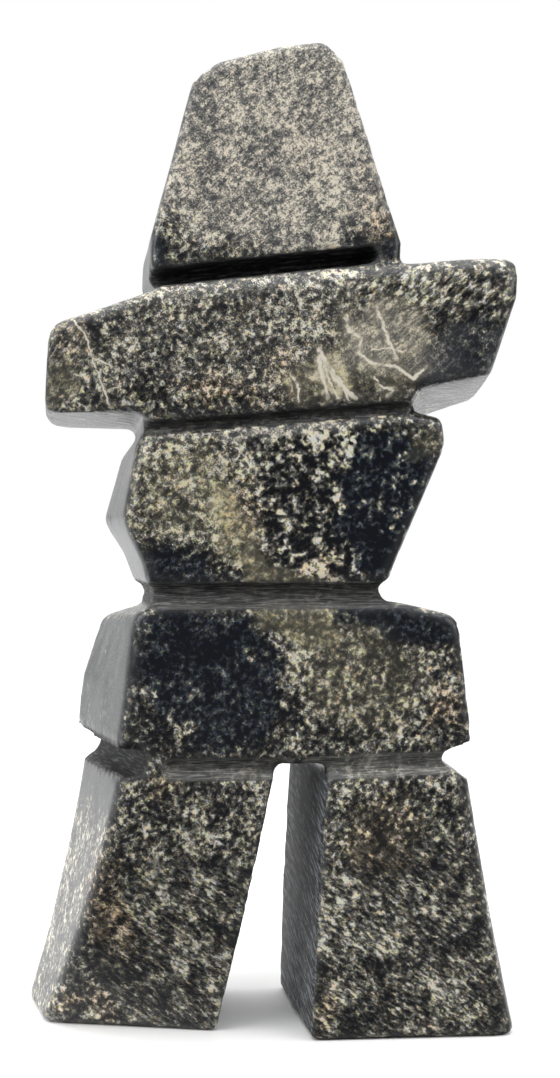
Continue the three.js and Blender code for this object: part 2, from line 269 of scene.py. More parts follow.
def bowls(points):
    """The chips and pits, as heights below 0: each a bowl that ends at its radius, and the radius grows
    and shrinks round it by a noise."""
    ragged = RAGGED + RAGGED_BY * noise(points, RAGGED_LENGTH, 5)
    heights = np.zeros(len(points))
    for centre, radius, deep in CHIPS + PITS:
        reach = np.linalg.norm(points - centre, axis=1) / (radius * ragged)
        heights -= deep * step(reach, 1, BOWL_FLOOR)
    return heights


def hand_finish(points, normals, edges):
    """The relief that filing and hand polish leave, as a distance along the way that each point looks:
    slow waves of the sanded faces, nicked arrises, strokes of the file in the grooves, chips and pits.
    Returns it with the share of each point that is filed, the dust there, how far round the groove it
    lies, and its share of an arris."""
    bend = ((points - averaged(points, edges, BEND_OVER)) * normals).sum(1)
    arris = step(averaged(bend[:, None], edges, ARRIS_EVENED)[:, 0], *ARRIS_BEND)
    waves = SLOW_WAVES[0] * noise(points, SLOW_WAVES[1], 1)
    waves += SHORT_WAVES[0] * noise(points, SHORT_WAVES[1], 2)
    nicks = -NICKS[0] * arris * step(noise(points, NICKS[1], 3), *NICKED)
    wander = LINE_WANDER * noise(points * WANDER_SHARES, WANDER_LENGTH, 4)
    filed, marks, dust, across = np.zeros((4, len(points)))
    for stroke in STROKES:
        share, round_it = stroke_share(points, stroke)
        lines = np.sin(round_it * 2 * math.pi / FILE_LINES[1] + wander)
        marks = np.where(share > filed, FILE_LINES[0] * share * lines, marks)
        dust = np.where(share > filed, stroke[5], dust)
        across = np.where(share > filed, round_it, across)
        filed = np.maximum(filed, share)
    relief = (waves + nicks) * (1 - FILED_AWAY * filed) + marks + bowls(points)
    return relief * step(points[:, 2], *SOLE_HEIGHTS), filed, dust, across, arris


# The next lists hold soft ellipsoids: middle and radii in millimetres, how strongly, and where they
# lie at a slant, how many degrees they are turned up on the right. The first says where the stone holds
# more or fewer pale flecks; a few of its entries paint shade or a highlight instead, as marked below
FLECK_AND_PAINTED_LIGHT_PATCHES = [
    ((-7.6, -12.6, 43.8), (9.0, 9.0, 9.0), -0.29),
    ((-14.6, -12.6, 49.6), (4.0, 8.0, 5.0), -0.2),
    ((-9.0, -12.6, 52.0), (8.0, 8.0, 3.5), -0.12),
    ((15.6, -12.6, 52.7), (8.4, 7.0, 3.0), -0.36, -12),
    # Painted highlight: a pale wedge on the hips' top face at the right, lit from above
    ((17.0, -11.0, 54.6), (6.5, 4.0, 0.8), 0.5, -10),
    ((-19.8, -12.6, 44.0), (2.6, 8.0, 5.0), -0.18),
    ((14.6, -12.0, 67.2), (6.8, 9.0, 11.0), -0.3),
    ((5.0, -12.0, 73.5), (8.5, 9.0, 5.5), -0.08),
    ((5.4, -12.0, 63.5), (8.4, 9.0, 7.0), -0.12, 16),
    ((-13.0, -12.0, 58.9), (6.6, 8.0, 3.2), -0.28, -20),
    ((24.0, -12.6, 86.2), (7.6, 8.0, 4.8), -0.3, 24),
    ((21.4, -12.6, 82.8), (3.2, 8.0, 3.2), -0.18),
    ((19.0, -12.6, 93.6), (10.0, 7.0, 2.4), 0.12, 6),
    ((-19.6, -12.6, 81.5), (4.0, 7.0, 2.5), -0.12),
    ((-20.8, -12.6, 89.1), (3.2, 7.0, 2.5), -0.1),
    ((1.0, -12.6, 80.2), (18.0, 7.0, 1.5), -0.14, 5),
    ((13.4, -12.6, 91.6), (3.0, 7.0, 1.8), -0.14),
    ((13.4, -12.6, 86.4), (5.8, 8.0, 5.6), 0.17),
    ((6.6, -12.6, 82.6), (2.2, 6.0, 2.9), 0.4, 20),
    ((0.0, -12.6, 88.0), (31.0, 9.0, 9.0), 0.08),
    ((-12.0, -12.0, 68.9), (7.4, 9.0, 7.6), 0.22),
    ((-13.0, -12.0, 73.2), (3.0, 8.0, 2.4), -0.12),
    ((-10.0, -12.0, 75.2), (8.5, 8.0, 1.8), 0.12, 8),
    # Painted highlight: a pale line along the torso's top bevel
    ((7.6, -12.3, 76.6), (9.0, 4.0, 1.2), 0.2, 6),
    ((-5.2, -12.0, 63.6), (2.6, 9.0, 6.8), 0.18, 28),
    ((2.5, -12.6, 51.9), (5.5, 9.0, 3.2), 0.1, -20),
    ((13.8, -12.6, 43.6), (11.5, 9.0, 8.0), 0.06),
    ((0.0, -11.0, 111.0), (18.0, 10.0, 16.0), 0.2),
    ((-13.0, -12.0, 118.0), (4.5, 8.0, 6.0), -0.1, 60),
    ((11.6, -12.0, 111.0), (2.4, 8.0, 5.0), -0.12, 15),
    # The next two are painted shade: they darken the head's lower corners over the slot
    ((-17.0, -12.0, 98.0), (2.6, 8.0, 2.2), -0.3),
    ((12.6, -12.0, 99.6), (5.2, 8.0, 1.7), -0.34, 8),
    ((-6.0, -12.0, 97.6), (9.0, 8.0, 1.0), -0.12, 6),
    ((0.0, -12.0, 12.0), (40.0, 16.0, 22.0), -0.02),
    ((-13.0, -12.0, 17.0), (9.0, 9.0, 12.0), 0.06),
    ((14.0, -12.6, 12.0), (14.0, 9.0, 16.0), 0.05),
    ((12.8, -13.0, 24.5), (3.6, 7.0, 3.2), -0.08),
    ((-23.0, -8.0, 9.0), (4.0, 8.0, 3.2), -0.12),
    ((8.0, 12.0, 68.0), (11.0, 8.0, 9.0), -0.2),
    ((-9.0, 13.0, 44.0), (10.0, 8.0, 7.0), 0.05),
    ((-16.0, 13.0, 88.0), (9.0, 8.0, 6.0), -0.15),
    ((14.0, 13.0, 20.0), (8.0, 8.0, 9.0), -0.1),
    ((12.0, 13.0, 46.0), (9.0, 8.0, 6.0), -0.22, 15),
    ((0.0, 10.0, 112.0), (16.0, 8.0, 12.0), 0.12),
]

# Where single large flecks lie on the front of torso and hips: across, up and radius in millimetres
LARGE_FLECKS = [
    (5.8, 75.0, 1.0),
    (8.2, 73.0, 1.5),
    (2.0, 73.7, 0.7),
    (5.4, 71.3, 0.8),
    (6.3, 68.0, 1.0),
    (8.2, 66.1, 0.7),
    (12.8, 67.3, 1.0),
    (0.5, 64.3, 0.8),
    (4.6, 62.4, 0.9),
    (4.2, 59.2, 1.6),
    (17.1, 76.4, 0.9),
    (10.4, 58.9, 0.7),
    (-10.8, 50.0, 0.6),
    (-3.2, 47.2, 0.7),
    (-14.6, 43.6, 0.5),
    (-13.9, 39.6, 0.7),
    (-12.3, 37.4, 1.1),
    (-3.6, 53.2, 0.6),
    (-4.8, 71.2, 0.6),
    (-0.6, 66.9, 0.7),
    (1.2, 70.2, 0.8),
    (-0.4, 61.8, 0.8),
]

# Where the stone is stained olive brown
OLIVE_PATCHES = [
    ((13.0, -12.6, 86.8), (6.4, 6.0, 6.0), 0.95),
    ((5.6, -12.6, 82.8), (4.0, 5.0, 3.2), 0.7),
    ((-5.4, -12.0, 63.9), (2.2, 6.0, 6.8), 0.75, 28),
    ((-12.0, -12.0, 68.8), (7.0, 6.0, 6.2), 0.4),
    ((-0.4, -12.0, 57.9), (4.6, 6.0, 2.2), 0.8, -25),
    ((2.4, -12.6, 52.6), (5.8, 6.0, 2.6), 0.85, -18),
    ((10.0, -12.6, 45.5), (8.0, 6.0, 6.5), 0.45, -30),
    ((13.0, -13.1, 26.5), (5.6, 5.0, 5.6), 0.15),
    ((-28.0, -12.0, 82.0), (3.2, 8.0, 3.6), 0.6),
    ((18.2, -11.5, 74.8), (2.4, 5.0, 2.6), 0.5),
    ((-4.0, 13.0, 90.0), (7.0, 6.0, 5.0), 0.5),
    ((6.0, 13.0, 50.0), (7.0, 6.0, 4.0), 0.4),
]

# Where iron stains the stone a warm brown
WARM_PATCHES = [
    ((11.4, -12.0, 106.4), (2.6, 6.0, 4.4), 0.9),
    ((2.7, -12.0, 112.7), (4.5, 6.0, 4.0), 0.4),
    ((-8.0, -12.0, 107.5), (4.0, 6.0, 3.0), 0.45),
    ((13.0, -12.0, 101.5), (3.0, 6.0, 2.0), 0.7),
    ((-7.6, -12.6, 81.6), (5.0, 6.0, 1.9), 0.7),
    ((-25.3, -12.6, 87.8), (3.2, 6.0, 2.6), 0.5),
    ((0.5, -12.6, 84.0), (2.6, 6.0, 3.6), 0.4),
    ((-5.0, -12.0, 66.0), (2.6, 6.0, 3.0), 0.4),
    ((4.6, -12.0, 59.6), (2.6, 6.0, 2.0), 0.35),
    ((20.6, -12.6, 42.6), (2.6, 6.0, 2.4), 0.8),
    ((12.6, -13.1, 25.5), (4.6, 5.0, 5.0), 0.6),
    ((-21.6, -9.0, 16.5), (2.4, 6.0, 7.0), 0.9, 14),
    ((-25.4, -7.0, 3.4), (4.6, 6.0, 1.9), 0.8),
    ((4.4, -13.0, 3.0), (2.0, 6.0, 5.0), 0.5),
    ((-14.0, -12.0, 32.0), (3.0, 6.0, 2.0), 0.6),
]

# Where flecks stand out boldly from a black ground
BOLD_PATCHES = [
    ((9.0, -12.0, 67.0), (11.6, 9.0, 13.0), 1.0, 16),
    ((6.0, -12.6, 43.0), (18.0, 9.0, 9.0), 0.2),
    ((-15.0, -12.6, 87.0), (12.0, 9.0, 8.0), 0.1),
]

# Where sanding leaves the grain fine and the ground grey. A few entries paint a grey sheen, a highlight
# and a reflection instead, in part or whole, as marked
SANDED_AND_SHEEN_PATCHES = [
    # Partly sanding, partly painted reflection: the head's front is greyed as if it mirrored the bright
    # room above
    ((0.0, -11.0, 115.0), (20.0, 12.0, 17.0), 1.0),
    ((-6.0, -12.6, 88.0), (28.0, 8.0, 8.0), 0.45),
    ((13.4, -12.6, 86.8), (6.0, 8.0, 6.0), 0.3),
    # Painted sheen: a grey band along the torso's top bevel
    ((3.5, -12.6, 76.9), (13.0, 3.0, 1.1), 0.8, 7),
    # Painted highlight: the same pale wedge on the hips' top face at the right
    ((17.0, -11.0, 54.5), (6.5, 4.0, 0.8), 1.0, -10),
    ((24.6, -12.6, 86.0), (7.2, 8.0, 5.0), 0.4, 24),
    ((21.4, -12.6, 82.8), (3.2, 8.0, 3.2), 0.2),
    ((-11.0, -12.0, 67.0), (8.0, 8.0, 9.0), 0.3),
    # The head's back, greyed the same way: partly sanding, partly painted reflection
    ((0.0, 11.0, 112.0), (17.0, 10.0, 14.0), 0.5),
]

# Where the flecks are drawn out by the sanding, down on the right
DRAWN_PATCHES = [
    ((16.0, -13.2, 10.0), (16.0, 6.0, 14.0), 1.0),
    ((-10.0, -9.0, 10.0), (14.0, 12.0, 14.0), 0.6),
]

# Where they are drawn out the other way, up on the right
RAISED_PATCHES = [
    ((20.0, -12.6, 93.5), (11.0, 7.0, 4.0), 0.9),
    ((-27.5, -9.0, 85.0), (3.5, 8.0, 7.0), 0.9),
]

# The marks that run from 0 to 1, and their patches
STAINS = {
    "olive": OLIVE_PATCHES,
    "warm": WARM_PATCHES,
    "bold": BOLD_PATCHES,
    "sanded_and_sheen": SANDED_AND_SHEEN_PATCHES,
    "drawn": DRAWN_PATCHES,
    "raised": RAISED_PATCHES,
}


def patches(points, spots, warp):
    """The sum of soft ellipsoids, each times its strength, on points that are shifted by the warp."""
    moved = points + warp
    total = np.zeros(len(points))
    for centre, radii, strength, *lift in spots:
        total += strength * blob(moved, centre, radii, *lift)
    return total


def mark(mesh, name, values):
    """Keeps one value for each point in the mesh, for the material to read."""
    attribute = mesh.attributes.new(name, "FLOAT", "POINT")
    attribute.data.foreach_set("value", values.astype(np.float32))


# Arrises that the hand has worn rounder than the others: middle and radii in millimetres
WORN = [
    ((-20.6, -11.8, 47.0), (2.6, 2.6, 11.0)),
    ((-17.6, -11.6, 68.0), (2.4, 2.4, 9.0)),
    ((-26.2, 12.6, 37.4), (2.0, 3.0, 2.4)),
]

# How often the points are averaged with their neighbours, everywhere and on those arrises
SMOOTHED, WORN_DOWN = 1, 9

# How far the patches' outlines wander, and over what length, in millimetres
WARP, WARP_LENGTH = 1.6, 2.4

# How strong a single large fleck is, how far in front of the axis they all lie and how deep they reach
LARGE_STRENGTH, LARGE_Y, LARGE_DEEP = 0.34, -12.3, 3.0

# How much the painted sheen of the faces that look left or down takes off their flecks, as a grazing
# reflection would hide them
SHEEN_CLEARS = 0.36

# The sawn notch: where its middle is across, how far from it the sawing ends and at what height, in
# millimetres, and how far its faces are turned to the side. Where a mark sets in, two numbers give its
# start and its full strength, here and below
NOTCH_X = -2.0
NOTCH_REACH = (9.5, 7.5)
NOTCH_TOP = (34.2, 32.5)
NOTCH_TURN = (0.75, 0.92)

# The faces with the painted sheen, a plain grey that stands for their grazing reflection: how far they
# are turned left or down, and the heights in millimetres over which they lie
LEFT_TURN, LEFT_ABOVE = (-0.7, -0.9), (24.0, 31.0)
UNDER_TURN, UNDER_ABOVE = (-0.55, -0.8), (60.0, 70.0)

# How the painted sheen varies on them: its mean, its wander and over what length in millimetres
SHEEN, SHEEN_BY, SHEEN_LENGTH = 0.8, 0.2, 5.0


def sawn_faces(points, normals):
    """1 on the two faces that look at each other between the legs, by height, by how far a face is turned
    to the side and by the distance from the notch's middle."""
    low = step(points[:, 2], *NOTCH_TOP)
    sideways = step(np.abs(normals[:, 0]), *NOTCH_TURN)
    return low * sideways * step(np.abs(points[:, 0] - NOTCH_X), *NOTCH_REACH)


def painted_sheen_faces(points, normals):
    """The shares of the faces with the painted sheen, a plain grey that stands for the reflection that
    hides their flecks at a grazing view: all of them, which a noise thins, and the undersides of the arms
    alone. They look left above the feet, or down above the hips."""
    left = step(normals[:, 0], *LEFT_TURN) * step(points[:, 2], *LEFT_ABOVE)
    under = step(normals[:, 2], *UNDER_TURN) * step(points[:, 2], *UNDER_ABOVE)
    return np.maximum(left, under) * (SHEEN + SHEEN_BY * noise(points, SHEEN_LENGTH, 21)), under


def carve():
    """The visible carving: the remeshed body with its hand finish and its marks."""
    mesh = carved_body()
    edges = edges_of(mesh)
    points = averaged(points_of(mesh), edges, SMOOTHED)
    worn = sum(blob(points, *spot) for spot in WORN)[:, None]
    points = (1 - worn) * points + worn * averaged(points, edges, WORN_DOWN)
    set_points(mesh, points)
    normals = normals_of(mesh)
    relief, filed, dust, across, arris = hand_finish(points, normals, edges)
    set_points(mesh, np.maximum(points + relief[:, None] * normals, (-np.inf, -np.inf, 0)))
    warp = np.stack([WARP * noise(points, WARP_LENGTH, seed) for seed in (11, 12, 13)], axis=1)
    painted_sheen, under = painted_sheen_faces(points, normals)
    large = [
        ((x, LARGE_Y, z), (radius, LARGE_DEEP, radius), LARGE_STRENGTH)
        for x, z, radius in LARGE_FLECKS
    ]
    mark(mesh, "filed", filed)
    mark(mesh, "dust", dust)
    mark(mesh, "across", across)
    mark(mesh, "arris", arris)
    mark(mesh, "sawn", sawn_faces(points, normals))
    mark(mesh, "painted_sheen", painted_sheen)
    mark(mesh, "under", under)
    # The painted sheen takes the flecks off the faces that look left or down
    mark(mesh, "flecks_and_painted_light", patches(points, FLECK_AND_PAINTED_LIGHT_PATCHES + large, warp) - SHEEN_CLEARS * painted_sheen)
    for name, spots in STAINS.items():
        mark(mesh, name, np.clip(patches(points, spots, warp), 0, 1))
    mesh.polygons.foreach_set("use_smooth", np.ones(len(mesh.polygons), bool))
    piece = bpy.data.objects.new("inukshuk", mesh)
    bpy.context.scene.collection.objects.link(piece)
    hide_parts(CARVING)
    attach(piece, "root")
    return piece


# The longest vein's points, across and up in millimetres
LONG_VEIN = [
    (8.13, 90.7),
    (8.63, 88.8),
    (10.13, 87.9),
    (9.73, 86.0),
    (11.63, 84.7),
    (14.33, 84.4),
    (16.73, 82.9),
    (18.43, 84.4),
]

# Pale veins on the front: points across and up in millimetres, and half the width
VEINS = [
    (LONG_VEIN, 0.2),
    ([(12.03, 91.9), (12.93, 89.4), (13.73, 87.3), (14.63, 85.3)], 0.17),
    ([(4.73, 86.5), (4.93, 83.9), (5.73, 81.4), (5.83, 80.2)], 0.22),
    ([(4.83, 86.4), (6.33, 83.4), (8.13, 81.4), (9.53, 80.3)], 0.24),
    ([(4.9, 86.2), (5.9, 83.0), (7.2, 80.2)], 0.13),
    ([(5.4, 85.4), (7.6, 82.4), (8.6, 80.1)], 0.12),
    ([(11.4, 86.4), (13.6, 86.7), (15.4, 86.2)], 0.08),
    ([(1.13, 83.4), (2.23, 81.5), (2.13, 79.9)], 0.13),
    ([(11.83, 83.0), (12.93, 81.6), (14.23, 81.5), (13.33, 80.7)], 0.16),
    ([(-25.97, 89.9), (-24.27, 88.0), (-23.37, 84.8), (-22.17, 81.6), (-21.17, 78.9)], 0.1),
    ([(-23.37, 85.2), (-21.17, 84.2)], 0.08),
    ([(-21.67, 81.0), (-19.87, 81.7)], 0.08),
]


class Bench:
    """A node tree, with short ways to set nodes down in it. Each one returns the node's first output."""

    def __init__(self, tree):
        self.tree = tree

    def set(self, kind, values=(), output=0, **settings):
        """A node with its settings, and its inputs set or linked by name or number."""
        node = self.tree.nodes.new(kind)
        for name, value in settings.items():
            setattr(node, name, value)
        for name, value in dict(values).items():
            if isinstance(value, bpy.types.NodeSocket):
                self.tree.links.new(value, node.inputs[name])
            else:
                node.inputs[name].default_value = value
        return node.outputs[output] if node.outputs else None

    def math(self, operation, *values):
        """Arithmetic on two or three numbers."""
        return self.set("ShaderNodeMath", enumerate(values), operation=operation)

    def vector(self, operation, *values, output=0):
        """Arithmetic on vectors."""
        return self.set("ShaderNodeVectorMath", enumerate(values), output, operation=operation)

    def band(self, value, low, high, at_low=0.0, at_high=1.0):
        """A smooth step of a value from at_low to at_high."""
        sides = {"Value": value, "From Min": low, "From Max": high, "To Min": at_low, "To Max": at_high}
        return self.set("ShaderNodeMapRange", sides, interpolation_type="SMOOTHSTEP")

    def noise(self, place, size, detail=3.0, roughness=0.55, output=0):
        """Cloudy noise whose largest grains are one size across."""
        settings = {"Vector": place, "Scale": 1 / size, "Detail": detail, "Roughness": roughness}
        return self.set("ShaderNodeTexNoise", settings, output)

    def mix(self, share, first, second, way="MIX"):
        """The first colour, with a share of the second one over it, or multiplied with it."""
        node = self.tree.nodes.new("ShaderNodeMix")
        node.data_type = "RGBA"
        node.blend_type = way
        for name, value in (("Factor_Float", share), ("A_Color", first), ("B_Color", second)):
            socket = next(s for s in node.inputs if s.identifier == name)
            if isinstance(value, bpy.types.NodeSocket):
                self.tree.links.new(value, socket)
            else:
                socket.default_value = value if name == "Factor_Float" else (*value, 1.0)
        return next(s for s in node.outputs if s.identifier == "Result_Color")

    def ramp(self, value, *stops):
        """A colour from a row of stops, each a value and the colour there."""
        node = self.tree.nodes.new("ShaderNodeValToRGB")
        elements = node.color_ramp.elements
        while len(elements) < len(stops):
            elements.new(1.0)
        for element, (where, colour) in zip(elements, stops):
            element.position = where
            element.color = (*colour, 1.0)
        self.tree.links.new(value, node.inputs[0])
        return node.outputs[0]

    def tint(self, share, colour, factors):
        """A colour multiplied by factors, to a share."""
        return self.mix(share, colour, factors, "MULTIPLY")

    def spread(self, value, gain):
        """A noise's distance from its mean of 0.5, times a gain."""
        return self.math("MULTIPLY", self.math("SUBTRACT", value, 0.5), gain)

    def lie(self, values, second, third):
        """The first of three values, with a share of the second and then of the third over it."""
        value = self.set("ShaderNodeMix", {0: second, 2: values[0], 3: values[1]}, data_type="FLOAT")
        return self.set("ShaderNodeMix", {0: third, 2: value, 3: values[2]}, data_type="FLOAT")

    def mark(self, name):
        """A value that the mesh keeps for each point."""
        return self.set("ShaderNodeAttribute", output=2, attribute_name=name)


def turned(bench, place, angle, stretch):
    """Places turned about the Y axis and pressed together along the new X, so that grains on them are
    drawn out along it, down to the right for an angle above 0."""
    sizes = {"Vector": place, "Rotation": (0, math.radians(angle), 0), "Scale": (stretch, 1.0, 1.0)}
    return bench.set("ShaderNodeMapping", sizes, vector_type="TEXTURE")


def distance_to_vein(bench, place, line):
    """The smallest distance to a row of straight runs: for each run, the point is carried along it by
    the share of it that the point lies at, from 0 to 1, and the rest is the distance."""
    nearest = None
    for start, end in zip(line, line[1:]):
        run = (end[0] - start[0], 0, end[1] - start[1])
        off = bench.vector("SUBTRACT", place, (start[0], 0, start[1]))
        share = bench.vector("DOT_PRODUCT", off, run, output=1)
        share = bench.math("DIVIDE", share, run[0] ** 2 + run[2] ** 2)
        share = bench.set("ShaderNodeClamp", {"Value": share})
        foot = bench.vector("SCALE", run)
        bench.tree.links.new(share, foot.node.inputs["Scale"])
        far = bench.vector("LENGTH", bench.vector("SUBTRACT", off, foot), output=1)
        nearest = far if nearest is None else bench.math("MINIMUM", nearest, far)
    return nearest


# Sizes of the grains in millimetres. The coarse ones have one for each way they lie: as they grew, drawn
# down to the right and drawn up to the right
COARSE = (0.66, 0.48, 0.6)
FINE = 0.22
BROAD, CLUSTER, CLUMP, LARGE = 7.0, 3.4, 1.7, 1.3

# How strong each of them is, and how much the marks add to the coarse and the fine ones
COARSE_GAIN, COARSE_DRAWN, COARSE_SANDED = 2.0, -0.35, -0.5
FINE_GAIN, FINE_BOLD, FINE_SANDED = 1.5, -0.6, 1.2
BROAD_GAIN, CLUSTER_GAIN, CLUMP_GAIN, LARGE_GAIN = 0.6, 0.58, 0.8, 2.0

# How much bold, olive and dim patches add to the sum of all grains, as a share of it
BOLD_ADDS, OLIVE_ADDS, DIM_ADDS = 0.2, -0.4, -0.2

# The two ways the grains are drawn out, in degrees, and how far
DRAWN_DOWN, DRAWN_UP, DRAWN_OUT = 34, -42, 2.2

# The values of the marks at which the drawn grains, the sanding's haze with its painted sheen, and the
# dim patches with their painted shade set in
DRAWN_FROM = (0.3, 0.6)
HAZE_FROM = (0.25, 1.0)
DIM_FROM = (-0.12, -0.3)

# The way of the sanding, in degrees
SANDING = -40

# How far the grains' edges are pushed about, and over what length, in millimetres. A noise's colour is
# taken from its mean to get a push that goes both ways
PUSH, PUSH_LENGTH = 0.55, 0.5
NOISE_MEAN = (0.5, 0.5, 0.5)

# Turn of the grains about the three axes, so that none lines up with the stone's faces
GROWN = (0.6, 0.35, 0.8)

# The rasp's scratches between the legs: how they lie about X, and how they are drawn out along Y
RASP = {"Rotation": (math.radians(16), 0, 0), "Scale": (1.0, 24.0, 1.0)}

# The scores on the undersides: how they lie about Z, and how they are drawn out along X
SCORED = {"Rotation": (0, 0, math.radians(50)), "Scale": (16.0, 1.0, 1.0)}

# Amount of pale mineral without any grain or patch
MEAN_AMOUNT = 0.44

# Colours by the amount of pale mineral: from the blue-black ground over the mottle to the cream flecks
FLECK_RAMP = [
    (0.0, (0.006, 0.0065, 0.009)),
    (0.18, (0.018, 0.0185, 0.0205)),
    (0.32, (0.038, 0.0375, 0.0365)),
    (0.47, (0.0735, 0.072, 0.066)),
    (0.58, (0.136, 0.133, 0.117)),
    (0.69, (0.243, 0.236, 0.201)),
    (0.79, (0.41, 0.393, 0.333)),
    (0.89, (0.608, 0.577, 0.485)),
    (1.0, (0.81, 0.775, 0.66)),
]

# The same where sanding leaves the ground grey, and where that grey is painted as sheen
DULL_RAMP = [
    (0.0, (0.06, 0.064, 0.07)),
    (0.26, (0.118, 0.117, 0.114)),
    (0.52, (0.237, 0.228, 0.207)),
    (0.78, (0.44, 0.41, 0.358)),
    (0.92, (0.64, 0.58, 0.485)),
    (1.0, (0.8, 0.73, 0.6)),
]

# Scratches of the rasp, and file lines without and with pale dust in them. The lines without dust are
# near black: the file's marks with painted shade in the grooves
RASP_RAMP = [
    (0.43, (0.004, 0.005, 0.008)),
    (0.51, (0.024, 0.027, 0.034)),
    (0.6, (0.34, 0.36, 0.39)),
]
DARK_LINES_AND_SHADE = [
    (0.42, (0.004, 0.0045, 0.006)),
    (0.54, (0.018, 0.019, 0.022)),
    (0.66, (0.13, 0.13, 0.13)),
]
PALE_LINES = [
    (0.35, (0.05, 0.052, 0.05)),
    (0.52, (0.2, 0.2, 0.185)),
    (0.68, (0.5, 0.49, 0.46)),
]

# Sizes of the two noises that tint single flecks, in millimetres
HUE, SMALL_HUE = 0.7, 0.45

# Factors that tint them, and the values of the noise at which each tint sets in: rose and greenish by the
# larger one, cool and golden by the smaller one
ROSE, ROSE_FROM = (1.12, 0.965, 0.86), (0.56, 0.68)
GREENISH, GREENISH_FROM = (0.97, 1.03, 0.84), (0.46, 0.33)
COOL, COOL_FROM = (0.96, 1.0, 1.16), (0.52, 0.6)
GOLDEN, GOLDEN_FROM = (1.04, 1.0, 0.83), (0.49, 0.4)

# The amounts of pale mineral at which the dark ground sets in
GROUND_FROM = (0.72, 0.4)

# Factors that tint whole patches, and the colour that stands like a veil over the olive ones
BLUE_BLACK = (0.8, 1.0, 1.28)
OLIVE = (1.06, 1.0, 0.79)
RUST = (1.15, 0.97, 0.84)
OLIVE_VEIL = (0.2, 0.19, 0.145)

# Colours of the painted sheen on the faces that look left or down, the scores, the veins, their borders
# and the worn arrises, whose paler grey is partly wear and partly a painted highlight
SHEEN_GREY = (0.055, 0.057, 0.055)
SCORE = (0.6, 0.6, 0.58)
VEIN = (0.84, 0.78, 0.65)
VEIN_BORDER = (0.33, 0.3, 0.235)
WORN_ARRIS_AND_HIGHLIGHT = (0.16, 0.16, 0.15)

# How far each of these covers the stone's own colour, where it lies at its fullest
COVER = {
    "olive veil": 0.3,
    "sanding and sheen": 0.8,
    # polish: the plain grey of the painted sheen
    "polish": 0.45,
    "scores": 0.7,
    "vein borders": 0.35,
    "rasp": 0.92,
    "dark lines and shade": 0.95,
    "worn arris and highlight": 0.1,
}

# How much less the file's lines cover where they hold dust, and the share of filing at which they set in
DUSTY_COVER = -0.3
LINES_FROM = (0.0, 0.6)

# Widths of the tools' marks in millimetres, and how far the sanding's two are drawn out
RASP_WIDTH, SCORE_WIDTH, LINE_WIDTH = 0.25, 0.5, 0.25
BRUSHED_WIDTH, BRUSHED_OUT = 0.3, 5.0
SCRATCH_WIDTH, SCRATCH_OUT = 0.18, 14.0

# The shares of x, y and z that the file's lines change over, so that they are long along a groove
ALONG_GROOVE = (0.1, 0.1, 0.0)

# How strongly the brushed grey varies, and the values of their noise at which the scores set in
BRUSHED_GAIN = 1.5
SCORES_FROM = (0.5, 0.68)

# The veins' wander and over what length, in millimetres, and in shares of a vein's half width where it and
# its border end and where they are full
VEIN_WANDER, VEIN_WANDER_LENGTH = 0.9, 0.8
VEIN_EDGE, BORDER_EDGE = (1.55, 0.45), (5.0, 0.5)

# The depths in millimetres over which the veins set in at the front, and their fading: over what length,
# at which values of its noise, and to what share
FRONT_FROM = (-6.0, -9.0)
FADE_LENGTH, FADE_FROM, FADED = 1.1, (0.32, 0.52), 0.3

# Heights of the bumps, in shares of the bump's distance in millimetres: scratches, how much more they are
# in haze, the file's lines, the fine grains and the scores
BUMP_DISTANCE = 0.012
SCRATCH_HEIGHT, HAZY_SCRATCH, LINE_HEIGHT, GRAIN_HEIGHT, SCORE_HEIGHT = 0.35, 0.6, 10.0, 0.25, 30.0

# The polished stone's roughness, and what haze, filing, sawing and scratches add to it
ROUGH = 0.24
ROUGHER = {"haze_and_sheen": 0.16, "filed": 0.4, "sawn": 0.36, "scratch": 0.08}


def fresh_material(name):
    """An empty material, and the bench on its nodes."""
    material = bpy.data.materials.new(name)
    material.use_nodes = True
    material.node_tree.nodes.clear()
    return material, Bench(material.node_tree)


def coarse_gain(bench, drawn, sanded_and_sheen):
    """How strong the coarse grains are: less where they are drawn out or sanded."""
    gain = bench.math("MULTIPLY_ADD", sanded_and_sheen, COARSE_SANDED, COARSE_GAIN)
    return bench.math("MULTIPLY_ADD", drawn, COARSE_DRAWN, gain)


def fine_gain(bench, bold, sanded_and_sheen):
    """How strong the fine grains are: less where the flecks are bold, more where they are sanded."""
    gain = bench.math("MULTIPLY_ADD", sanded_and_sheen, FINE_SANDED, FINE_GAIN)
    return bench.math("MULTIPLY_ADD", bold, FINE_BOLD, gain)


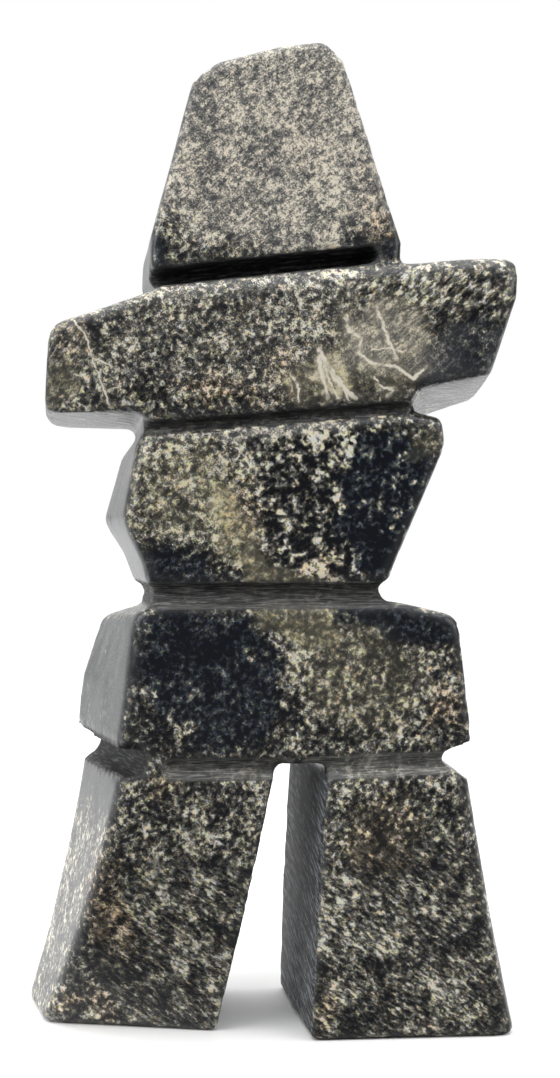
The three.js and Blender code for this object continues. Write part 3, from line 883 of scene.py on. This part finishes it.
def grains(bench, place, marks):
    """The coarse and the fine grains, each a noise's distance from its mean times a gain. Each point
    takes them as they grew, drawn down or drawn up, by its marks. Returns with them the places turned as
    the stone grew, plain and pushed about, which gives the grains their ragged edges."""
    askew = bench.set("ShaderNodeMapping", {"Vector": place, "Rotation": GROWN})
    push = bench.noise(askew, PUSH_LENGTH, detail=2.0, output=1)
    push = bench.vector("SUBTRACT", push, NOISE_MEAN)
    ragged = bench.vector("MULTIPLY_ADD", push, (PUSH, PUSH, PUSH), place)
    grown = bench.vector("MULTIPLY_ADD", push, (PUSH, PUSH, PUSH), askew)
    down = turned(bench, ragged, DRAWN_DOWN, DRAWN_OUT)
    up = turned(bench, ragged, DRAWN_UP, DRAWN_OUT)
    lies = (grown, down, up)
    drawn = bench.band(marks["drawn"], *DRAWN_FROM)
    raised = bench.band(marks["raised"], *DRAWN_FROM)
    coarse = [bench.noise(lie, size, detail=1.0, roughness=0.4) for lie, size in zip(lies, COARSE)]
    coarse = bench.spread(bench.lie(coarse, drawn, raised), coarse_gain(bench, drawn, marks["sanded_and_sheen"]))
    fine = [bench.noise(lie, FINE, detail=2.0, roughness=0.65) for lie in lies]
    fine = bench.spread(bench.lie(fine, drawn, raised), fine_gain(bench, marks["bold"], marks["sanded_and_sheen"]))
    return coarse, fine, askew, grown


def pale_amount(bench, marks, coarse, fine, askew, grown, dim_and_painted_shade):
    """Amount of pale mineral, mostly from 0 to 1: the mean, the density of the patch that the place is
    in, and the sum of all grains, which is stronger in bold patches and weaker in olive or dim ones."""
    cluster = bench.spread(bench.noise(askew, CLUSTER, detail=2.0, roughness=0.5), CLUSTER_GAIN)
    grain = bench.math("ADD", bench.math("ADD", coarse, fine), cluster)
    grain = bench.math("ADD", grain, bench.spread(bench.noise(askew, BROAD, detail=1.0), BROAD_GAIN))
    grain = bench.math("ADD", grain, bench.spread(bench.noise(grown, CLUMP, detail=1.0), CLUMP_GAIN))
    large = bench.spread(bench.noise(grown, LARGE, detail=2.0), LARGE_GAIN)
    grain = bench.math("MULTIPLY_ADD", marks["bold"], large, grain)
    for share, adds in ((marks["bold"], BOLD_ADDS), (marks["olive"], OLIVE_ADDS), (dim_and_painted_shade, DIM_ADDS)):
        grain = bench.math("MULTIPLY", grain, bench.math("MULTIPLY_ADD", share, adds, 1.0))
    return bench.math("ADD", bench.math("ADD", grain, marks["flecks_and_painted_light"]), MEAN_AMOUNT)


def stone_colour(bench, place, marks, amount, askew, grown, dim_and_painted_shade, haze_and_sheen):
    """The colour of the stone by its amount of pale mineral, tinted fleck by fleck and patch by patch,
    and grey under the sanding's haze, where the brushed way of the sanding shows; in a few places that
    grey is a painted sheen. Last, the plain grey of the painted sheen lies over the faces that look left
    or down."""
    colour = bench.ramp(amount, *FLECK_RAMP)
    hue = bench.noise(grown, HUE, detail=1.0)
    colour = bench.tint(bench.band(hue, *ROSE_FROM), colour, ROSE)
    colour = bench.tint(bench.band(hue, *GREENISH_FROM), colour, GREENISH)
    hue = bench.noise(askew, SMALL_HUE, detail=1.0)
    colour = bench.tint(bench.band(hue, *COOL_FROM), colour, COOL)
    colour = bench.tint(bench.band(hue, *GOLDEN_FROM), colour, GOLDEN)
    blue_ground = bench.math("MULTIPLY", dim_and_painted_shade, bench.band(amount, *GROUND_FROM))
    colour = bench.tint(blue_ground, colour, BLUE_BLACK)
    colour = bench.tint(marks["olive"], colour, OLIVE)
    colour = bench.tint(marks["warm"], colour, RUST)
    colour = bench.mix(bench.math("MULTIPLY", marks["olive"], COVER["olive veil"]), colour, OLIVE_VEIL)
    brushed = turned(bench, place, SANDING, BRUSHED_OUT)
    brushed = bench.noise(brushed, BRUSHED_WIDTH, detail=2.0, roughness=0.6)
    dull = bench.ramp(bench.math("ADD", bench.spread(brushed, BRUSHED_GAIN), amount), *DULL_RAMP)
    colour = bench.mix(bench.math("MULTIPLY", haze_and_sheen, COVER["sanding and sheen"]), colour, dull)
    # Painted sheen: a plain grey over the faces that look left or down, for their grazing reflection
    return bench.mix(bench.math("MULTIPLY", marks["painted_sheen"], COVER["polish"]), colour, SHEEN_GREY)


def veined(bench, place, colour):
    """The colour with the pale veins and their softer borders over it, on the front alone. Veins wander
    a little and fade in places."""
    wander = bench.vector("SUBTRACT", bench.noise(place, VEIN_WANDER_LENGTH, output=1), NOISE_MEAN)
    beside = bench.vector("MULTIPLY_ADD", wander, (VEIN_WANDER, 0.0, VEIN_WANDER), place)
    beside = bench.vector("MULTIPLY", beside, (1.0, 0.0, 1.0))
    vein, border = 0.0, 0.0
    for line, half in VEINS:
        far = distance_to_vein(bench, beside, line)
        inner = bench.band(far, half * VEIN_EDGE[0], half * VEIN_EDGE[1])
        vein = bench.math("MAXIMUM", vein, inner)
        outer = bench.band(far, half * BORDER_EDGE[0], half * BORDER_EDGE[1])
        border = bench.math("MAXIMUM", border, outer)
    depth = bench.set("ShaderNodeSeparateXYZ", {0: place}, output=1)
    front = bench.band(depth, *FRONT_FROM)
    fade = bench.band(bench.noise(place, FADE_LENGTH, detail=2.0), *FADE_FROM, at_low=FADED)
    border = bench.math("MULTIPLY", bench.math("MULTIPLY", border, front), COVER["vein borders"])
    colour = bench.mix(border, colour, VEIN_BORDER)
    vein = bench.math("MULTIPLY", bench.math("MULTIPLY", vein, front), fade)
    return bench.mix(vein, colour, VEIN)


def tooled(bench, place, marks, lines, colour):
    """The colour with the marks of the tools over it: the faces between the legs are left as rasped,
    the grooves are painted near black along the file's lines as painted shade, or filled with pale dust
    along them, and the arrises are a little paler, partly worn and partly a painted highlight."""
    rasp = bench.set("ShaderNodeMapping", RASP | {"Vector": place}, vector_type="TEXTURE")
    rasped = bench.ramp(bench.noise(rasp, RASP_WIDTH, roughness=0.7), *RASP_RAMP)
    colour = bench.mix(bench.math("MULTIPLY", marks["sawn"], COVER["rasp"]), colour, rasped)
    # File lines without dust are near black: partly the file's marks, partly painted shade in the groove
    dust = bench.mix(marks["dust"], bench.ramp(lines, *DARK_LINES_AND_SHADE), bench.ramp(lines, *PALE_LINES))
    cover = bench.math("MULTIPLY_ADD", marks["dust"], DUSTY_COVER, COVER["dark lines and shade"])
    cover = bench.math("MULTIPLY", bench.band(marks["filed"], *LINES_FROM), cover)
    colour = bench.mix(cover, colour, dust)
    # Paler arrises: partly wear, partly a painted highlight
    return bench.mix(bench.math("MULTIPLY", marks["arris"], COVER["worn arris and highlight"]), colour, WORN_ARRIS_AND_HIGHLIGHT)


def finish(bench, place, marks, lines, scored, fine, haze_and_sheen):
    """The stone's roughness and its bumps: sanding scratches, file marks along the grooves, scores
    on the undersides and the fine grains."""
    scratch = turned(bench, place, SANDING, SCRATCH_OUT)
    scratch = bench.noise(scratch, SCRATCH_WIDTH, detail=2.0, roughness=0.5)
    scratch_height = bench.math("MULTIPLY_ADD", haze_and_sheen, HAZY_SCRATCH, SCRATCH_HEIGHT)
    line_height = bench.math("MULTIPLY", marks["filed"], LINE_HEIGHT)
    score_height = bench.math("MULTIPLY", marks["under"], SCORE_HEIGHT)
    height = bench.math("MULTIPLY", scratch, scratch_height)
    height = bench.math("MULTIPLY_ADD", lines, line_height, height)
    height = bench.math("MULTIPLY_ADD", fine, GRAIN_HEIGHT, height)
    height = bench.math("MULTIPLY_ADD", scored, score_height, height)
    bump = {"Height": height, "Distance": BUMP_DISTANCE * MM, "Strength": 1.0}
    rough = ROUGH
    shares = {"haze_and_sheen": haze_and_sheen, "filed": marks["filed"], "sawn": marks["sawn"], "scratch": scratch}
    for name, share in shares.items():
        rough = bench.math("MULTIPLY_ADD", share, ROUGHER[name], rough)
    return rough, bench.set("ShaderNodeBump", bump)


# What the mesh keeps for each point and the stone's material reads
MARKS = ("filed", "dust", "across", "arris", "sawn", "painted_sheen", "under", "flecks_and_painted_light", *STAINS)


def serpentine():
    """Dark polished serpentine: a blue-black ground with a fine mottle, ragged cream flecks in
    clusters, olive stains, pale veins, sanding scratches and file marks, with painted shade, sheen and
    highlights in places."""
    material, bench = fresh_material("speckled serpentine")
    metres = bench.set("ShaderNodeTexCoord", output=3)
    place = bench.vector("SCALE", metres)
    place.node.inputs["Scale"].default_value = 1 / MM
    marks = {name: bench.mark(name) for name in MARKS}
    haze_and_sheen = bench.band(marks["sanded_and_sheen"], *HAZE_FROM)
    dim_and_painted_shade = bench.band(marks["flecks_and_painted_light"], *DIM_FROM)

    coarse, fine, askew, grown = grains(bench, place, marks)
    amount = pale_amount(bench, marks, coarse, fine, askew, grown, dim_and_painted_shade)
    colour = stone_colour(bench, place, marks, amount, askew, grown, dim_and_painted_shade, haze_and_sheen)

    # The undersides of the arms are scored slantwise from the front to the back
    scored = bench.set("ShaderNodeMapping", SCORED | {"Vector": place}, vector_type="TEXTURE")
    scored = bench.noise(scored, SCORE_WIDTH, roughness=0.7)
    pale = bench.math("MULTIPLY", bench.band(scored, *SCORES_FROM), marks["under"])
    colour = bench.mix(bench.math("MULTIPLY", pale, COVER["scores"]), colour, SCORE)
    colour = veined(bench, place, colour)

    # The file's lines run along each groove: a noise of how far round the groove a point lies
    section = bench.set("ShaderNodeCombineXYZ", {"Z": marks["across"]})
    lines = bench.vector("MULTIPLY_ADD", place, ALONG_GROOVE, section)
    lines = bench.noise(lines, LINE_WIDTH, roughness=0.65)
    colour = tooled(bench, place, marks, lines, colour)
    rough, bumps = finish(bench, place, marks, lines, scored, fine, haze_and_sheen)
    polish = {"Base Color": colour, "Roughness": rough, "Normal": bumps}
    surface = bench.set("ShaderNodeBsdfPrincipled", polish | {"IOR": 1.57, "Specular IOR Level": 0.35})
    bench.set("ShaderNodeOutputMaterial", {"Surface": surface})
    return material


# Corners round the table top, and the radii of its rings in metres
SIDES = 96
RINGS = (0.2, 0.8, 3.0, 9.0)

# The table's whites and the size of their patches, the painted shade that the stone mirrors of it in
# front, and the depths between which that sets in, in metres
WHITES = ((0.93, 0.93, 0.93), (0.95, 0.95, 0.95))
WHITE_PATCH = 0.4
MIRRORED_SHADE = (0.1, 0.1, 0.1)
MIRRORED_FROM = (0.0, -0.02)


def floor():
    """A white table top far wider than the view: a disc of rings about the origin. In front of the stone
    it is painted grey, painted shade that only reflected and bounced light sees; the camera sees it white."""
    turns = np.linspace(0, 2 * math.pi, SIDES, endpoint=False)
    rings = np.array(RINGS)[:, None, None] * np.stack([np.cos(turns), np.sin(turns)], axis=1)
    flat = np.concatenate([np.zeros((1, 2)), rings.reshape(-1, 2)])
    points = np.concatenate([flat, np.zeros((len(flat), 1))], axis=1)
    k = np.arange(SIDES)
    after = (k + 1) % SIDES
    faces = [np.stack([np.zeros(SIDES, int), 1 + k, 1 + after], axis=1).tolist()]
    for ring in range(len(RINGS) - 1):
        inner, outer = 1 + SIDES * ring, 1 + SIDES * (ring + 1)
        faces.append(np.stack([inner + k, outer + k, outer + after, inner + after], axis=1).tolist())
    mesh = bpy.data.meshes.new("table top")
    mesh.from_pydata(points.tolist(), [], [face for row in faces for face in row])
    top = bpy.data.objects.new("table_top", mesh)
    bpy.context.scene.collection.objects.link(top)
    material, bench = fresh_material("white table top")
    place = bench.set("ShaderNodeTexCoord", output=3)
    white = bench.mix(bench.noise(place, WHITE_PATCH, detail=2.0), *WHITES)
    near = bench.band(bench.set("ShaderNodeSeparateXYZ", {0: place}, output=1), *MIRRORED_FROM)
    seen = bench.set("ShaderNodeLightPath", output=0)
    mirrored_shade = bench.math("MULTIPLY", near, bench.math("SUBTRACT", 1.0, seen))
    # Painted shade: grey in front of the stone for all rays but the camera's
    white = bench.mix(mirrored_shade, white, MIRRORED_SHADE)
    surface = bench.set("ShaderNodeBsdfPrincipled", {"Base Color": white, "Roughness": 0.6})
    bench.set("ShaderNodeOutputMaterial", {"Surface": surface})
    mesh.materials.append(material)


# The paper's light by the direction that it is seen in. Each row has the two values of the direction's
# part between which the light changes, and the light at the first and at the second one
FRONT_LIGHT = (-0.95, 0.0, 0.02, 0.55)
BACK_LIGHT = (0.2, 0.9, 0.0, 0.35)
RIGHT_SHARE = (0.1, 0.7, 1.0, 0.3)
TOP_LIGHT = (0.15, 0.9, 0.0, 1.0)
TOP_STRENGTH = 1.1


def surroundings():
    """White paper all round. It shines on the stone from above, from behind and from the sides, and
    little from the front, by the height and the depth of the direction that it is seen in."""
    world = bpy.data.worlds.new("white paper")
    bpy.context.scene.world = world
    world.use_nodes = True
    world.node_tree.nodes.clear()
    bench = Bench(world.node_tree)
    way = bench.set("ShaderNodeTexCoord", output=0)
    right, back, up = (bench.set("ShaderNodeSeparateXYZ", {0: way}, output=axis) for axis in range(3))
    level = bench.band(back, *FRONT_LIGHT)
    level = bench.math("ADD", level, bench.band(back, *BACK_LIGHT))
    level = bench.math("MULTIPLY", level, bench.band(right, *RIGHT_SHARE))
    light = bench.math("MULTIPLY_ADD", bench.band(up, *TOP_LIGHT), TOP_STRENGTH, level)
    seen = bench.set("ShaderNodeLightPath", output=0)
    strength = bench.set("ShaderNodeMix", {0: seen, 2: light, 3: 1.0}, data_type="FLOAT")
    paper = bench.set("ShaderNodeBackground", {"Color": (1, 1, 1, 1), "Strength": strength})
    bench.set("ShaderNodeOutputWorld", {"Surface": paper})


# The soft lights: name, place and aim in metres, side in metres and power in watts
LAMPS = [
    ("left window", (-0.5, -0.28, 0.3), (0, 0, 0.07), 0.4, 1.6),
    ("right window", (0.5, -0.3, 0.3), (0, 0, 0.07), 0.4, 1.2),
    ("overhead", (0.0, -0.1, 0.6), (0, 0, 0.05), 0.5, 1.6),
]


def lamp(name, centre, aim, size, power):
    """A square soft light that looks from its centre at the aim."""
    light = bpy.data.lights.new(name, "AREA")
    light.size = size
    light.energy = power
    holder = bpy.data.objects.new(name, light)
    way = np.array(aim, float) - np.array(centre, float)
    flat = math.hypot(way[0], way[1])
    holder.rotation_euler = (math.atan2(flat, -way[2]), 0, math.atan2(-way[0], way[1]))
    holder.location = centre
    bpy.context.scene.collection.objects.link(holder)


# The camera's place in millimetres, its turn to the right in degrees and its focal length
EYE = (-19.02, -228.65, 62.7)
EYE_TURN = 5
FOCAL_LENGTH = 57.97


def camera():
    """The camera at the photograph's viewing angle. It looks level."""
    lens = bpy.data.cameras.new("camera")
    lens.lens = FOCAL_LENGTH
    lens.clip_start = 0.01
    holder = bpy.data.objects.new("camera", lens)
    holder.location = (EYE[0] * MM, EYE[1] * MM, EYE[2] * MM)
    holder.rotation_euler = (math.radians(90), 0, -math.radians(EYE_TURN))
    bpy.context.scene.collection.objects.link(holder)
    bpy.context.scene.camera = holder


carving = carve()
carving.data.materials.clear()
carving.data.materials.append(serpentine())
floor()
surroundings()
for each in LAMPS:
    lamp(*each)
camera()
bpy.context.scene.view_settings.view_transform = "Standard"
